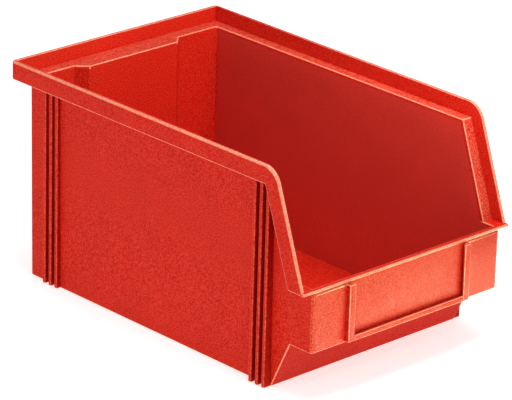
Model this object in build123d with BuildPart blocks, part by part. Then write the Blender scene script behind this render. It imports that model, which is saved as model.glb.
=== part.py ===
from build123d import *
import os

# Open-fronted stacking bin in injection-moulded plastic.
# Millimetres. +Z is up, the label panel faces -Y, and the origin is the middle
# of the bin's bounding box at floor level. The real bin is one moulding: each
# solid below is one named region of it and meets its neighbours face to face.

# Overall size
WIDTH = 150.0
LENGTH = 234.0
HEIGHT = 124.0
REAR_Y = LENGTH / 2
FRONT_Y = -LENGTH / 2

# Box below the collar
WALL = 2.2
SIDE_X_TOP = 68.7
SIDE_X_BASE = 67.8
REAR_OUT_Y = 109.4
PANEL_Y = -114.4
BASE_FRONT_Y = -85.0
NOSE_BACK_Y = -98.4
NOSE_Z = 28.1
REAR_CORNER_R = 4.0
NOSE_CORNER_R = 2.0

# Collar: an upright band round the sides and rear, which also follows the
# sloping front edges of the side walls. A shoulder joins it to the walls.
BAND = 2.2
BAND_H = 10.5
LEDGE_DROP = 8.7
SLOPE_BAND = 10.1
SLOPE_DROP = 7.9
SLOPE_TOP_Y = -91.0
SLOPE_RUN = 0.358
SLOPE_CORNER_R = 12.0
COLLAR_CORNER_R = 3.0
RIM_R = 1.3

# Front lip along the top of the label panel
LIP_TOP_Z = 63.0
LIP_LOW_Z = 61.5
LIP_OUT_Y = -114.8
LIP_IN_Y = -111.5
LIP_END_R = 0.8

# Shallow groove under the lip, on each side of the label holder
GROOVE_LOW_Z = 60.3
GROOVE_DEPTH = 0.7
GROOVE_END_X = 66.2

# Recess in the rear wall, full height
RECESS_DEPTH = 5.9
RECESS_HALF = 32.0
RECESS_BASE_HALF = 38.5
RECESS_FLANK = 1.9

# Outside ribs, in groups of three
RIB_T = 2.4
RIB_PITCH = 4.9
RIB_EDGE_R = 0.9
RIB_GROUPS = {"front": (-78.8, 72.6), "rear": (88.7, 70.7)}

# Label holder
LABEL_HALF = 44.2
LABEL_RIB = 4.2
LABEL_FLANGE = 1.3
LABEL_WEB = 2.0
LABEL_SILL = 3.1
LABEL_BASE_Z = 28.6
LABEL_TOP_Z = 60.4

# Levels and planes that follow from the sizes above
FAR = 300.0
SPARE = 1.0
UNDER_Z = HEIGHT - BAND_H
LEDGE_Z = HEIGHT - LEDGE_DROP
BAND_IN_X = WIDTH / 2 - BAND
BAND_IN_Y = REAR_Y - BAND
PANEL_IN_Y = PANEL_Y + WALL
REAR_IN_Y = REAR_OUT_Y - WALL
NOSE_IN_Z = NOSE_Z + WALL
NOSE_SPLIT_Y = BASE_FRONT_Y
COLLAR_SPLIT_Y = -80.0
REAR_SPLIT_X = 40.0
SLOPE_STRETCH = (1 + SLOPE_RUN**2) ** 0.5
FOOT_RUN = (NOSE_BACK_Y - BASE_FRONT_Y) / NOSE_Z
FOOT_STRETCH = (1 + FOOT_RUN**2) ** 0.5


def slope_y(z, drop):
    """Y at height z of the line set back square from the sloping front edge."""
    return SLOPE_TOP_Y - SLOPE_RUN * (HEIGHT - z) + drop * SLOPE_STRETCH


def foot_y(z, set_in):
    """Y at height z of the slanted foot face, set in square to it."""
    return BASE_FRONT_Y + FOOT_RUN * z + set_in * FOOT_STRETCH


def side_x(z, set_in):
    """X at height z of the drafted side wall, set in from its outer face."""
    return SIDE_X_BASE + (SIDE_X_TOP - SIDE_X_BASE) * z / UNDER_Z - set_in


def drafted_section(set_in, low, high):
    """Cross-section of the tub between two heights, set in from the outside."""
    x_low = side_x(low, set_in)
    x_high = side_x(high, set_in)
    Polygon((-x_low, low), (x_low, low), (x_high, high), (-x_high, high), align=None)


def recess_plan(depth, half_front, half_base):
    """Plan of the rear recess, cut forward from the rear wall's outer face."""
    y_front = REAR_OUT_Y - depth
    Polygon(
        (-half_base, REAR_OUT_Y + SPARE),
        (-half_base, REAR_OUT_Y),
        (-half_front, y_front),
        (half_front, y_front),
        (half_base, REAR_OUT_Y),
        (half_base, REAR_OUT_Y + SPARE),
        align=None,
    )


# ------------------------------------------------------------ working solids
# Outside of the tub, below the collar
with BuildPart() as tub_outside:
    with BuildSketch(Plane.XZ):
        drafted_section(0, 0, UNDER_Z)
    extrude(amount=FAR, both=True)
    with BuildSketch(Plane.YZ):
        Polygon(
            (BASE_FRONT_Y, 0),
            (REAR_OUT_Y, 0),
            (REAR_OUT_Y, UNDER_Z),
            (slope_y(UNDER_Z, SLOPE_BAND), UNDER_Z),
            (slope_y(LIP_LOW_Z, SLOPE_BAND), LIP_LOW_Z),
            (PANEL_Y, LIP_LOW_Z),
            (PANEL_Y, NOSE_Z),
            (NOSE_BACK_Y, NOSE_Z),
            align=None,
        )
    extrude(amount=FAR, both=True, mode=Mode.INTERSECT)
    rear_corners = tub_outside.edges().group_by(Axis.Y)[-1]
    fillet(rear_corners.filter_by(Axis.X, reverse=True), radius=REAR_CORNER_R)
    nose_corners = tub_outside.edges().group_by(Axis.Y)[0]
    fillet(nose_corners.filter_by(Axis.X, reverse=True), radius=NOSE_CORNER_R)
    with BuildSketch(Plane.XY):
        recess_plan(RECESS_DEPTH, RECESS_HALF - WALL, RECESS_BASE_HALF - WALL)
    extrude(amount=UNDER_Z, mode=Mode.SUBTRACT)
    with Locations((0, PANEL_Y, GROOVE_LOW_Z)):
        with GridLocations(GROOVE_END_X + LABEL_HALF, 0, 2, 1):
            Box(
                GROOVE_END_X - LABEL_HALF,
                2 * GROOVE_DEPTH,
                LIP_LOW_Z - GROOVE_LOW_Z,
                align=(Align.CENTER, Align.CENTER, Align.MIN),
                mode=Mode.SUBTRACT,
            )

# Space inside the tub
with BuildPart() as cavity:
    with BuildSketch(Plane.XZ):
        drafted_section(WALL, 0, HEIGHT)
    extrude(amount=FAR, both=True)
    with BuildSketch(Plane.YZ):
        Polygon(
            (foot_y(WALL, WALL), WALL),
            (REAR_IN_Y, WALL),
            (REAR_IN_Y, HEIGHT),
            (PANEL_IN_Y, HEIGHT),
            (PANEL_IN_Y, NOSE_IN_Z),
            (foot_y(NOSE_IN_Z, WALL), NOSE_IN_Z),
            align=None,
        )
    extrude(amount=FAR, both=True, mode=Mode.INTERSECT)
    inner_corners = cavity.edges().group_by(Axis.Y)[-1].filter_by(Axis.X, reverse=True)
    fillet(inner_corners, radius=REAR_CORNER_R - WALL)
    with BuildSketch(Plane.XY):
        recess_plan(RECESS_DEPTH + WALL, RECESS_HALF, RECESS_BASE_HALF + RECESS_FLANK)
    extrude(amount=HEIGHT, mode=Mode.SUBTRACT)

# Prism between the inner faces of the side walls
with BuildPart() as between_walls:
    with BuildSketch(Plane.XZ):
        drafted_section(WALL, -SPARE, HEIGHT + SPARE)
    extrude(amount=FAR, both=True)

with BuildPart() as tub:
    add(tub_outside.part)
    add(cavity.part, mode=Mode.SUBTRACT)

# Collar and shoulder in one, before they are divided
with BuildPart() as collar_outside:
    with BuildSketch(Plane.YZ) as collar_side:
        Polygon(
            (slope_y(LIP_TOP_Z, 0), LIP_TOP_Z),
            (slope_y(HEIGHT, 0), HEIGHT),
            (REAR_Y, HEIGHT),
            (REAR_Y, UNDER_Z),
            (slope_y(UNDER_Z, SLOPE_BAND), UNDER_Z),
            (slope_y(LIP_TOP_Z, SLOPE_BAND), LIP_TOP_Z),
            align=None,
        )
        top_corner = collar_side.vertices().group_by(Axis.Y)[-1].sort_by(Axis.X)[0]
        fillet(top_corner, radius=SLOPE_CORNER_R)
    extrude(amount=WIDTH / 2, both=True)
    uprights = collar_outside.edges().filter_by(Axis.Z).group_by(Axis.Y)[-1]
    fillet(uprights, radius=COLLAR_CORNER_R)
    top_rim = collar_outside.faces().filter_by(Axis.Z).group_by(Axis.Z)[-1].edges()
    fillet(top_rim.filter_by(Axis.X, reverse=True), radius=RIM_R)

with BuildPart() as collar:
    add(collar_outside.part)
    with BuildSketch(Plane.YZ):
        Polygon(
            (slope_y(LIP_LOW_Z, SLOPE_DROP) - FAR, LIP_LOW_Z),
            (slope_y(LIP_LOW_Z, SLOPE_DROP), LIP_LOW_Z),
            (slope_y(LEDGE_Z, SLOPE_DROP), LEDGE_Z),
            (BAND_IN_Y, LEDGE_Z),
            (BAND_IN_Y, HEIGHT + SPARE),
            (slope_y(LIP_LOW_Z, SLOPE_DROP) - FAR, HEIGHT + SPARE),
            align=None,
        )
    extrude(amount=BAND_IN_X, both=True, mode=Mode.SUBTRACT)
    add(cavity.part, mode=Mode.SUBTRACT)

# Lip and the webs at its ends that close the collar to the nose walls
with BuildPart() as lip:
    with BuildSketch(Plane.YZ):
        Polygon(
            (LIP_OUT_Y, LIP_LOW_Z),
            (slope_y(LIP_LOW_Z, SLOPE_BAND), LIP_LOW_Z),
            (slope_y(LIP_TOP_Z, SLOPE_BAND), LIP_TOP_Z),
            (LIP_OUT_Y, LIP_TOP_Z),
            align=None,
        )
    extrude(amount=WIDTH / 2, both=True)
    with BuildSketch(Plane.XY.offset(LIP_LOW_Z)):
        opening_x = side_x(LIP_LOW_Z, WALL)
        Polygon(
            (-opening_x, LIP_IN_Y),
            (opening_x, LIP_IN_Y),
            (opening_x, 0),
            (-opening_x, 0),
            align=None,
        )
    extrude(amount=LIP_TOP_Z - LIP_LOW_Z, mode=Mode.SUBTRACT)
    lip_ends = lip.edges().filter_by(Axis.Z).group_by(Axis.Y)[0]
    fillet(lip_ends, radius=LIP_END_R)


# ------------------------------------------------------------------- pieces
def save(part, name):
    """Label one finished piece and write it as its own STEP file."""
    part.label = name
    os.makedirs("parts", exist_ok=True)
    export_step(part, f"parts/{name}.step")
    print(name, len(part.solids()), round(part.volume), part.is_valid)


def region(source, low, high, core=None):
    """The stretch of a working solid inside a box, in or out of the core."""
    size = [b - a for a, b in zip(low, high)]
    with BuildPart() as piece:
        add(source.part)
        with Locations(low):
            Box(*size, align=(Align.MIN, Align.MIN, Align.MIN), mode=Mode.INTERSECT)
        if core == "in":
            add(between_walls.part, mode=Mode.INTERSECT)
        if core == "out":
            add(between_walls.part, mode=Mode.SUBTRACT)
    return piece.part


# Floor and the slanted front of the foot
save(region(tub, (-FAR, -FAR, 0), (FAR, FAR, WALL)), "floor")
save(region(tub, (-FAR, -FAR, WALL), (FAR, 0, NOSE_Z), "in"), "foot_panel")
save(region(tub, (-FAR, PANEL_IN_Y, NOSE_Z), (FAR, 0, NOSE_IN_Z), "in"), "nose_underside")
save(region(tub, (-FAR, -FAR, NOSE_Z), (FAR, PANEL_IN_Y, FAR), "in"), "front_panel")

# Side walls, each in a rear stretch and the part below the sloping edge
for side, x_low, x_high in (("left", -FAR, 0), ("right", 0, FAR)):
    wall = region(tub, (x_low, NOSE_SPLIT_Y, WALL), (x_high, FAR, FAR), "out")
    save(wall, f"wall_{side}")
    nose = region(tub, (x_low, -FAR, WALL), (x_high, NOSE_SPLIT_Y, FAR), "out")
    save(nose, f"nose_wall_{side}")

# Rear wall: two flat stretches and the recess between them
save(region(tub, (-FAR, 0, WALL), (-REAR_SPLIT_X, FAR, FAR), "in"), "rear_wall_left")
save(region(tub, (REAR_SPLIT_X, 0, WALL), (FAR, FAR, FAR), "in"), "rear_wall_right")
save(region(tub, (-REAR_SPLIT_X, 0, WALL), (REAR_SPLIT_X, FAR, FAR), "in"), "rear_recess")

# Collar band: sides, sloping fronts and rear
for side, x_low, x_high in (("left", -FAR, -BAND_IN_X), ("right", BAND_IN_X, FAR)):
    band = region(collar, (x_low, COLLAR_SPLIT_Y, 0), (x_high, FAR, FAR))
    save(band, f"collar_{side}")
    slope = region(collar, (x_low, -FAR, 0), (x_high, COLLAR_SPLIT_Y, FAR))
    save(slope, f"collar_slope_{side}")
save(region(collar, (-BAND_IN_X, BAND_IN_Y, 0), (BAND_IN_X, FAR, FAR)), "collar_rear")

# Shoulder that a bin stacked on top rests on
inner = side_x(UNDER_Z, WALL) - SPARE
for side, x_low, x_high in (("left", -BAND_IN_X, -inner), ("right", inner, BAND_IN_X)):
    ledge = region(collar, (x_low, COLLAR_SPLIT_Y, 0), (x_high, BAND_IN_Y, FAR))
    save(ledge, f"shoulder_{side}")
    slope = region(collar, (x_low, -FAR, 0), (x_high, COLLAR_SPLIT_Y, FAR))
    save(slope, f"shoulder_slope_{side}")
save(region(collar, (-inner, 0, 0), (inner, BAND_IN_Y, FAR)), "shoulder_rear")

save(lip.part, "front_lip")

# Outside ribs, from the floor up to the shoulder
for group, (mid_y, rib_x) in RIB_GROUPS.items():
    for side, sign in (("left", -1), ("right", 1)):
        with BuildPart() as ribs:
            with Locations((sign * rib_x / 2, mid_y, UNDER_Z / 2)):
                with GridLocations(0, RIB_PITCH, 1, 3):
                    Box(rib_x, RIB_T, UNDER_Z)
            edges = ribs.edges().filter_by(Axis.Z)
            fillet(edges.group_by(Axis.X)[0 if sign < 0 else -1], radius=RIB_EDGE_R)
            add(tub_outside.part, mode=Mode.SUBTRACT)
            add(between_walls.part, mode=Mode.SUBTRACT)
            add(collar.part, mode=Mode.SUBTRACT)
        save(ribs.part, f"ribs_{group}_{side}")

# Label holder: three ribs on the front panel, slotted behind their flanges
for side, sign in (("left", -1), ("right", 1)):
    with BuildPart() as label_rib:
        with BuildSketch(Plane.XY.offset(LABEL_BASE_Z)):
            Polygon(
                (sign * LABEL_HALF, PANEL_Y),
                (sign * LABEL_HALF, FRONT_Y),
                (sign * (LABEL_HALF - LABEL_RIB), FRONT_Y),
                (sign * (LABEL_HALF - LABEL_RIB), FRONT_Y + LABEL_FLANGE),
                (sign * (LABEL_HALF - LABEL_WEB), FRONT_Y + LABEL_FLANGE),
                (sign * (LABEL_HALF - LABEL_WEB), PANEL_Y),
                align=None,
            )
        extrude(amount=LABEL_TOP_Z - LABEL_BASE_Z)
    save(label_rib.part, f"label_rib_{side}")

with BuildPart() as label_rib_bottom:
    with BuildSketch(Plane.YZ):
        Polygon(
            (PANEL_Y, LABEL_BASE_Z),
            (FRONT_Y, LABEL_BASE_Z),
            (FRONT_Y, LABEL_BASE_Z + LABEL_SILL),
            (FRONT_Y + LABEL_FLANGE, LABEL_BASE_Z + LABEL_SILL),
            (FRONT_Y + LABEL_FLANGE, LABEL_BASE_Z + LABEL_WEB),
            (PANEL_Y, LABEL_BASE_Z + LABEL_WEB),
            align=None,
        )
    extrude(amount=LABEL_HALF - LABEL_RIB, both=True)
save(label_rib_bottom.part, "label_rib_bottom")
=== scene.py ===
import math

import bmesh
import bpy
from mathutils import Matrix, Vector
from mathutils.bvhtree import BVHTree


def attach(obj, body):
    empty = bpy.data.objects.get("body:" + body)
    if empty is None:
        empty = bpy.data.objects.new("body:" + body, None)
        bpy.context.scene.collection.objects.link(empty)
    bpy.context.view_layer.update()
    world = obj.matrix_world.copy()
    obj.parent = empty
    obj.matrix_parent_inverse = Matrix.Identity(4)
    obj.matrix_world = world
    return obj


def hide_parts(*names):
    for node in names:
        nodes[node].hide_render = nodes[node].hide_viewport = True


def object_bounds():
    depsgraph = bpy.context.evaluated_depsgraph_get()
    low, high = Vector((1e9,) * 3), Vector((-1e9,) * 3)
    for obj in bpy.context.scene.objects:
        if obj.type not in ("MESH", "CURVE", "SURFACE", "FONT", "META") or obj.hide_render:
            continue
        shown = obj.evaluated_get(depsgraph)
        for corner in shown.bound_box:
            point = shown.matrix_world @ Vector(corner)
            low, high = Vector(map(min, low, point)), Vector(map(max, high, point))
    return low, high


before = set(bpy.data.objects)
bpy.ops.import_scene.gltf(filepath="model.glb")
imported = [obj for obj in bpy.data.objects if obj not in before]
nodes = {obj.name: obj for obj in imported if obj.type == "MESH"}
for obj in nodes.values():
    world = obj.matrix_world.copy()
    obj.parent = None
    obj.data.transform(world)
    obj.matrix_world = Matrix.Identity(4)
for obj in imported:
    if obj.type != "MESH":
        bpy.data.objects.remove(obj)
cad_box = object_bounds()

# Camera, at the picture's viewing angle. All lengths are metres.
AZIMUTH = math.radians(-44.0)
ELEVATION = math.radians(21.68)
ROLL = math.radians(1.73)
EYE = Vector((-1.25007, -1.31380, 0.78342))
LENS = 255.7
SENSOR = 36.0
SHIFT = (-0.0515, -0.0070)
FAR_CLIP = 20.0

# Edges of the moulding: how wide they are rounded, and what counts as an edge
EDGE_ROUND = 0.00055
PIECE_ROUND = {"label_rib": 0.00042, "ribs": 0.00065, "front_lip": 0.0006}
ROUND_STEPS = 3
SHARP_ANGLE = math.radians(28.0)
FLAT_ANGLE = math.radians(0.5)
WELD = 1e-6
TOUCH = 0.00003

# The lip's groove runs 0.4 mm into the nose walls, too short to round there
GROOVE_Z = (0.0602, 0.0616)

# Pieces whose rounded front corners get the painted light of the ledges
NOSE = ("front_panel", "nose_wall")

# Pieces whose rounded edges keep the colour of their faces, without the painted highlight
SOFT = ("rear_recess", "rear_wall")

# Pieces whose inward faces have the smoother finish of the moulding core
CORE_SIDE = ("wall", "nose_wall")

# Parts of a face's normal, which tell rounded and sloping faces from flat ones
UPWARD = 0.15
LEVEL = 0.98
TURNED = 0.25
CROSSWISE = 0.85

# Surface detail: features per metre, depth of the grain, and tint of the reflections
CLOUD_SCALE = 38.0
SCUFF_SCALE = 210.0
GRAIN_DEPTH = 0.00012
GLOSS_TINT = (1.0, 0.68, 0.18, 1.0)

# Studio. The floor lies just under the base, because faces in one plane would clash.
SKY = 0.28
PAPER = (0.93, 0.93, 0.93, 1.0)
PAPER_ROUGH = 0.9
PAPER_GLOW = 0.55
FLOOR_HALF = 3.0
FLOOR_CELLS = 8
FLOOR_GAP = 0.0002
WHITE = (1.0, 1.0, 1.0)
WARM_WHITE = (1.0, 0.98, 0.95)
PALE_GREEN = (0.62, 0.92, 0.72)

# Sockets of a Mix node in its colour mode
MIX_FACTOR, MIX_FIRST, MIX_SECOND, MIX_RESULT = 0, 6, 7, 2


# ------------------------------------------------------------------ materials
def link(tree, source, socket, target, name):
    tree.links.new(source.outputs[socket], target.inputs[name])


def noise(tree, coords, scale, detail, roughness):
    """A noise texture on object coordinates; scale is features per metre."""
    node = tree.nodes.new("ShaderNodeTexNoise")
    node.inputs["Scale"].default_value = scale
    node.inputs["Detail"].default_value = detail
    node.inputs["Roughness"].default_value = roughness
    link(tree, coords, "Object", node, "Vector")
    return node


def ramp(tree, source, stops):
    """A colour ramp over a texture's factor; stops are (position, colour)."""
    node = tree.nodes.new("ShaderNodeValToRGB")
    bands = node.color_ramp.elements
    while len(bands) < len(stops):
        bands.new(0.5)
    for band, (position, colour) in zip(bands, stops):
        band.position = position
        band.color = (*colour, 1.0)
    link(tree, source, "Fac", node, "Fac")
    return node


def multiply(tree, first, second):
    """The product of two colour outputs."""
    node = tree.nodes.new("ShaderNodeMix")
    node.data_type = "RGBA"
    node.blend_type = "MULTIPLY"
    node.inputs[MIX_FACTOR].default_value = 1.0
    tree.links.new(first, node.inputs[MIX_FIRST])
    tree.links.new(second, node.inputs[MIX_SECOND])
    return node.outputs[MIX_RESULT]


def plastic(name, dark, light, grain, bump, rough, specular):
    """Moulded plastic: fine two-tone grain in relief, faint clouds and uneven gloss."""
    material = bpy.data.materials.new(name)
    material.use_nodes = True
    tree = material.node_tree
    shader = tree.nodes["Principled BSDF"]
    coords = tree.nodes.new("ShaderNodeTexCoord")

    speckle = noise(tree, coords, grain, 1.0, 0.45)
    clouds = noise(tree, coords, CLOUD_SCALE, 2.0, 0.5)
    base = ramp(tree, speckle, [(0.43, dark), (0.57, light)])
    shade = ramp(tree, clouds, [(0.30, (0.93, 0.93, 0.93)), (0.72, (1.0, 1.0, 1.0))])
    colour = multiply(tree, base.outputs["Color"], shade.outputs["Color"])
    tree.links.new(colour, shader.inputs["Base Color"])

    scuffs = noise(tree, coords, SCUFF_SCALE, 6.0, 0.7)
    gloss = ramp(tree, scuffs, [(0.35, (rough - 0.06,) * 3), (0.75, (rough + 0.08,) * 3)])
    link(tree, gloss, "Color", shader, "Roughness")

    relief = tree.nodes.new("ShaderNodeBump")
    relief.inputs["Strength"].default_value = bump
    relief.inputs["Distance"].default_value = GRAIN_DEPTH
    link(tree, speckle, "Fac", relief, "Height")
    link(tree, relief, "Normal", shader, "Normal")
    shader.inputs["Specular IOR Level"].default_value = specular
    shader.inputs["Specular Tint"].default_value = GLOSS_TINT
    return material


# Every face that has no other finish
OUTER = plastic(
    "outer_grain",
    dark=(0.52, 0.001, 0.001),
    light=(0.66, 0.036, 0.017),
    grain=1550.0,
    bump=0.80,
    rough=0.46,
    specular=0.13,
)
# Inward faces of the side walls
INNER = plastic(
    "inner_smooth",
    dark=(0.58, 0.038, 0.026),
    light=(0.63, 0.044, 0.031),
    grain=1150.0,
    bump=0.15,
    rough=0.48,
    specular=0.13,
)
# Rounded edges and the collar's sloping faces: a painted highlight, the palest colour
EDGE_HIGHLIGHT = plastic(
    "painted_highlight_edge",
    dark=(0.80, 0.190, 0.110),
    light=(0.90, 0.300, 0.200),
    grain=900.0,
    bump=0.20,
    rough=0.36,
    specular=0.50,
)
# Sides of the ribs: painted shade of the grooves, the darkest colour
GROOVE_SHADE = plastic(
    "groove_shade",
    dark=(0.32, 0.001, 0.001),
    light=(0.42, 0.010, 0.006),
    grain=1350.0,
    bump=0.40,
    rough=0.60,
    specular=0.10,
)
# Ledges, rounded nose corners and rounded rib edges: painted light, paler than the faces
LEDGE_LIGHT = plastic(
    "painted_light_ledge",
    dark=(0.52, 0.012, 0.006),
    light=(0.72, 0.105, 0.060),
    grain=1350.0,
    bump=0.60,
    rough=0.44,
    specular=0.20,
)
FINISHES_AND_PAINTED_LIGHT = (OUTER, INNER, EDGE_HIGHLIGHT, GROOVE_SHADE, LEDGE_LIGHT)


# --------------------------------------------------------------------- pieces
def node_mesh(obj):
    """A welded copy of a CAD node's mesh with its flat faces merged."""
    mesh = bmesh.new()
    mesh.from_mesh(obj.data)
    bmesh.ops.remove_doubles(mesh, verts=mesh.verts, dist=WELD)
    bmesh.ops.dissolve_limit(mesh, angle_limit=FLAT_ANGLE, verts=mesh.verts, edges=mesh.edges)
    return mesh


def neighbour_tree(name):
    """A search tree of every CAD node except one."""
    points = []
    faces = []
    for other, obj in nodes.items():
        if other == name:
            continue
        first = len(points)
        points.extend(vertex.co.copy() for vertex in obj.data.vertices)
        faces.extend([first + i for i in face.vertices] for face in obj.data.polygons)
    return BVHTree.FromPolygons(points, faces)


def touches(tree, point):
    return tree.find_nearest(point, TOUCH)[0] is not None


def is_convex(edge):
    return edge.calc_face_angle_signed(0.0) > SHARP_ANGLE


def rounded(name, obj):
    """A visual piece for one CAD node, its free edges rounded, seams left flush."""
    mesh = node_mesh(obj)
    tree = neighbour_tree(name)
    weights = mesh.edges.layers.float.new("bevel_weight_edge")
    for edge in mesh.edges:
        middle = (edge.verts[0].co + edge.verts[1].co) / 2
        stub = name.startswith("nose_wall") and GROOVE_Z[0] < middle.z < GROOVE_Z[1]
        if is_convex(edge) and not stub and not touches(tree, middle):
            edge[weights] = 1.0
        elif edge.calc_face_angle(math.pi) > SHARP_ANGLE:
            edge.smooth = False
    for face in mesh.faces:
        face.smooth = True
    data = bpy.data.meshes.new(name + "_skin")
    mesh.to_mesh(data)
    mesh.free()
    piece = bpy.data.objects.new(name + "_skin", data)
    bpy.context.scene.collection.objects.link(piece)
    return piece


def finish_or_painted_light(name, normal, center):
    """The finish or painted light of a face, from the piece that it is on and the way that it faces:
    sloping and rounded faces get a painted highlight, rib sides a painted shade.
    """
    if name.startswith(CORE_SIDE) and normal.x * center.x < 0.0:
        return INNER
    # Collar's rounded and sloping tops: painted highlight
    if name.startswith("collar") and UPWARD < normal.z < LEVEL:
        return EDGE_HIGHLIGHT
    # Rounded nose corners: painted light
    if name.startswith(NOSE) and abs(normal.x) > TURNED and normal.y < -TURNED:
        return LEDGE_LIGHT
    # Upward faces of the shoulders: painted light
    if name.startswith("shoulder") and normal.z > UPWARD:
        return LEDGE_LIGHT
    # Rib sides: painted shade of the grooves
    if name.startswith("ribs") and abs(normal.y) > CROSSWISE:
        return GROOVE_SHADE
    # Rounded rib edges: painted highlight
    if name.startswith("ribs") and abs(normal.y) > TURNED:
        return LEDGE_LIGHT
    return OUTER


def round_width(name):
    for start, width in PIECE_ROUND.items():
        if name.startswith(start):
            return width
    return EDGE_ROUND


def finish(piece, name):
    """Gives a piece its materials and rounded edges, and stands it for its node."""
    data = piece.data
    for material in FINISHES_AND_PAINTED_LIGHT:
        data.materials.append(material)
    for face in data.polygons:
        face.material_index = FINISHES_AND_PAINTED_LIGHT.index(finish_or_painted_light(name, face.normal, face.center))
    bevel = piece.modifiers.new("edges", "BEVEL")
    bevel.limit_method = "WEIGHT"
    bevel.width = round_width(name)
    bevel.segments = ROUND_STEPS
    bevel.use_clamp_overlap = False
    bevel.harden_normals = True
    # Rounded edges get the painted highlight, except on the soft pieces
    bevel.material = FINISHES_AND_PAINTED_LIGHT.index(OUTER if name.startswith(SOFT) else EDGE_HIGHLIGHT)
    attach(piece, "root")
    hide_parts(name)


# ---------------------------------------------------------- camera and studio
def add_camera():
    back = Vector((
        math.sin(AZIMUTH) * math.cos(ELEVATION),
        -math.cos(AZIMUTH) * math.cos(ELEVATION),
        math.sin(ELEVATION),
    ))
    level = Vector((math.cos(AZIMUTH), math.sin(AZIMUTH), 0.0))
    up = back.cross(level)
    right = math.cos(ROLL) * level + math.sin(ROLL) * up
    top = math.cos(ROLL) * up - math.sin(ROLL) * level
    data = bpy.data.cameras.new("camera")
    data.lens = LENS
    data.sensor_width = SENSOR
    data.sensor_fit = "HORIZONTAL"
    data.shift_x, data.shift_y = SHIFT
    data.clip_end = FAR_CLIP
    camera = bpy.data.objects.new("camera", data)
    bpy.context.scene.collection.objects.link(camera)
    turn = Matrix((right, top, back)).transposed().to_4x4()
    camera.matrix_world = Matrix.Translation(EYE) @ turn
    bpy.context.scene.camera = camera


def add_softbox(name, place, size, power, colour=WHITE, aim=None, shines=True, lights=True):
    """A square area light that faces the middle of the object, or along aim.

    With shines off it leaves no reflection, and with lights off it leaves nothing else."""
    data = bpy.data.lights.new(name, "AREA")
    data.energy = power
    data.size = size
    data.color = colour
    lamp = bpy.data.objects.new(name, data)
    bpy.context.scene.collection.objects.link(lamp)
    if aim is None:
        aim = Vector((0.0, 0.0, cad_box[1][2] / 2)) - Vector(place)
    turn = Vector(aim).to_track_quat("-Z", "Y").to_matrix().to_4x4()
    lamp.matrix_world = Matrix.Translation(place) @ turn
    lamp.visible_camera = False
    lamp.visible_glossy = shines
    lamp.visible_diffuse = lights


def add_floor():
    mesh = bmesh.new()
    bmesh.ops.create_grid(mesh, x_segments=FLOOR_CELLS, y_segments=FLOOR_CELLS, size=FLOOR_HALF)
    data = bpy.data.meshes.new("studio_floor")
    mesh.to_mesh(data)
    mesh.free()
    floor = bpy.data.objects.new("studio_floor", data)
    bpy.context.scene.collection.objects.link(floor)
    paper = bpy.data.materials.new("studio_paper")
    paper.use_nodes = True
    shader = paper.node_tree.nodes["Principled BSDF"]
    shader.inputs["Base Color"].default_value = PAPER
    shader.inputs["Roughness"].default_value = PAPER_ROUGH
    shader.inputs["Emission Color"].default_value = (*WHITE, 1.0)
    shader.inputs["Emission Strength"].default_value = PAPER_GLOW
    data.materials.append(paper)
    floor.visible_glossy = False
    floor.location.z = -FLOOR_GAP


def add_world():
    world = bpy.data.worlds.new("studio")
    bpy.context.scene.world = world
    world.use_nodes = True
    background = world.node_tree.nodes["Background"]
    background.inputs["Color"].default_value = (*WHITE, 1.0)
    background.inputs["Strength"].default_value = SKY


def add_lights():
    add_softbox("overhead", (0.0, 0.1, 1.7), size=1.0, power=9.0)
    add_softbox("front_top", (-0.1, -1.3, 0.95), size=0.9, power=7.5, colour=WARM_WHITE)
    add_softbox("left_side", (-1.4, 0.0, 0.12), size=0.4, power=6.9, shines=False)
    add_softbox("bin_fill", (0.0, -0.08, 0.26), size=0.2, power=0.44, aim=(0.0, 0.8, -1.0), shines=False)
    add_softbox(
        "front_card",
        (0.085, -0.285, 0.004),
        size=0.30,
        power=7.0,
        colour=PALE_GREEN,
        aim=(-0.02, 0.2, 1.0),
        lights=False,
    )


bpy.context.scene.view_settings.view_transform = "Standard"
add_camera()
add_world()
add_lights()
add_floor()
for name, obj in list(nodes.items()):
    finish(rounded(name, obj), name)
